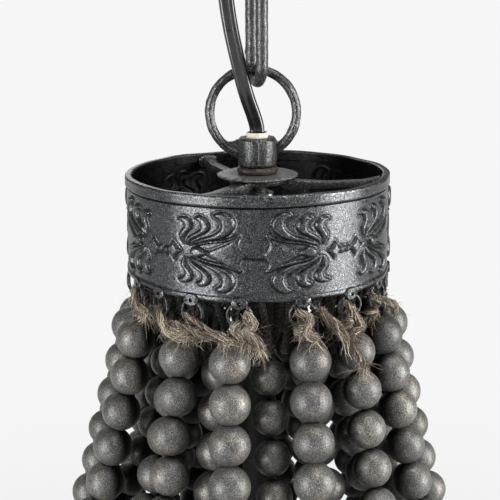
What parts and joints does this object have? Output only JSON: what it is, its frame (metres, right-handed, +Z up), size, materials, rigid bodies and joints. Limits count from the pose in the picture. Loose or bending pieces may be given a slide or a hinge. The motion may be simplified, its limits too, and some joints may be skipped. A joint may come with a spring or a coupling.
{
  "type": "beaded chandelier",
  "caption": "Beaded chandelier: embossed metal crown on a chain, bead strands fanning out to a hoop, a beaded basket under it and candle lamps inside.",
  "frame": {"origin": "middle of the ceiling strap's top face, where it lies against the ceiling", "axes": "+Z up, front towards -Y, the chain and the column hang along -Z"},
  "size_m": [0.3176, 0.3179, 0.6606],
  "materials": {
    "cast_iron": "mottled dark grey, worn",
    "rusty_iron": "rusty brown",
    "embossed_steel": "mottled dark grey over stamped relief",
    "dark_steel": "satin dark grey",
    "zinc_steel": "zinc plated",
    "grey_beads": "matte grey wash over turned wood, strung on jute",
    "black_cord": "glossy",
    "ivory_plastic": "satin",
    "candle_sleeve": "matte",
    "socket_black": "satin",
    "bulb_glass": "clear"
  },
  "bodies": {
    "ceiling": {"ceiling_strap": "zinc_steel", "canopy_lock_nut": "zinc_steel", "canopy": "cast_iron", "canopy_nipple": "zinc_steel", "canopy_loop": "cast_iron", "cord_1": "black_cord"},
    "link_top": {"chain_link_top": "cast_iron", "cord_2": "black_cord"},
    "link_middle": {"chain_link_middle": "cast_iron", "cord_3": "black_cord"},
    "link_lowest": {"chain_link_lowest": "cast_iron"},
    "lamp": {"hanging_loop": "cast_iron", "cord_bushing": "ivory_plastic", "lock_nut": "rusty_iron", "hub_washer": "cast_iron", "hub_nipple": "zinc_steel", "crown_band": "embossed_steel", "spider": "dark_steel", "spider_nut": "zinc_steel", "column_tube": "dark_steel", "wire_box": "dark_steel", "wire_box_cover": "dark_steel", "hoop": "dark_steel", "lamp_arm_1": "dark_steel", "lamp_arm_2": "dark_steel", "lamp_arm_3": "dark_steel", "drip_cup_1": "dark_steel", "drip_cup_2": "dark_steel", "drip_cup_3": "dark_steel", "socket_1": "socket_black", "socket_2": "socket_black", "socket_3": "socket_black", "candle_sleeve_1": "candle_sleeve", "candle_sleeve_2": "candle_sleeve", "candle_sleeve_3": "candle_sleeve", "bulb_1": "bulb_glass", "bulb_2": "bulb_glass", "bulb_3": "bulb_glass", "bead_strand_01": "grey_beads", "bead_strand_02": "grey_beads", "bead_strand_03": "grey_beads", "bead_strand_04": "grey_beads", "bead_strand_05": "grey_beads", "bead_strand_06": "grey_beads", "bead_strand_07": "grey_beads", "bead_strand_08": "grey_beads", "bead_strand_09": "grey_beads", "bead_strand_10": "grey_beads", "bead_strand_11": "grey_beads", "bead_strand_12": "grey_beads", "bead_strand_13": "grey_beads", "bead_strand_14": "grey_beads", "basket_strand_1": "grey_beads", "basket_strand_2": "grey_beads", "basket_strand_3": "grey_beads", "basket_strand_4": "grey_beads", "basket_strand_5": "grey_beads", "basket_cup": "dark_steel", "finial": "dark_steel", "cord_4": "black_cord"}
  },
  "joints": [
    {"name": "top_link_swing", "type": "hinge", "parent": "ceiling", "child": "link_top", "pos_m": [0, 0, -0.06795], "axis": [1, 0, 0], "range_deg": [-20, 20], "deforming": ["cord_1"]},
    {"name": "middle_link_swing", "type": "hinge", "parent": "link_top", "child": "link_middle", "pos_m": [0, 0, -0.11015], "axis": [0, 1, 0], "range_deg": [-20, 20], "deforming": ["cord_2"]},
    {"name": "lowest_link_swing", "type": "hinge", "parent": "link_middle", "child": "link_lowest", "pos_m": [0, 0, -0.15175], "axis": [1, 0, 0], "range_deg": [-20, 20], "deforming": ["cord_3"]},
    {"name": "lamp_swing", "type": "hinge", "parent": "link_lowest", "child": "lamp", "pos_m": [0, 0, -0.19335], "axis": [0, 1, 0], "range_deg": [-20, 20], "deforming": ["cord_4"]}
  ]
}
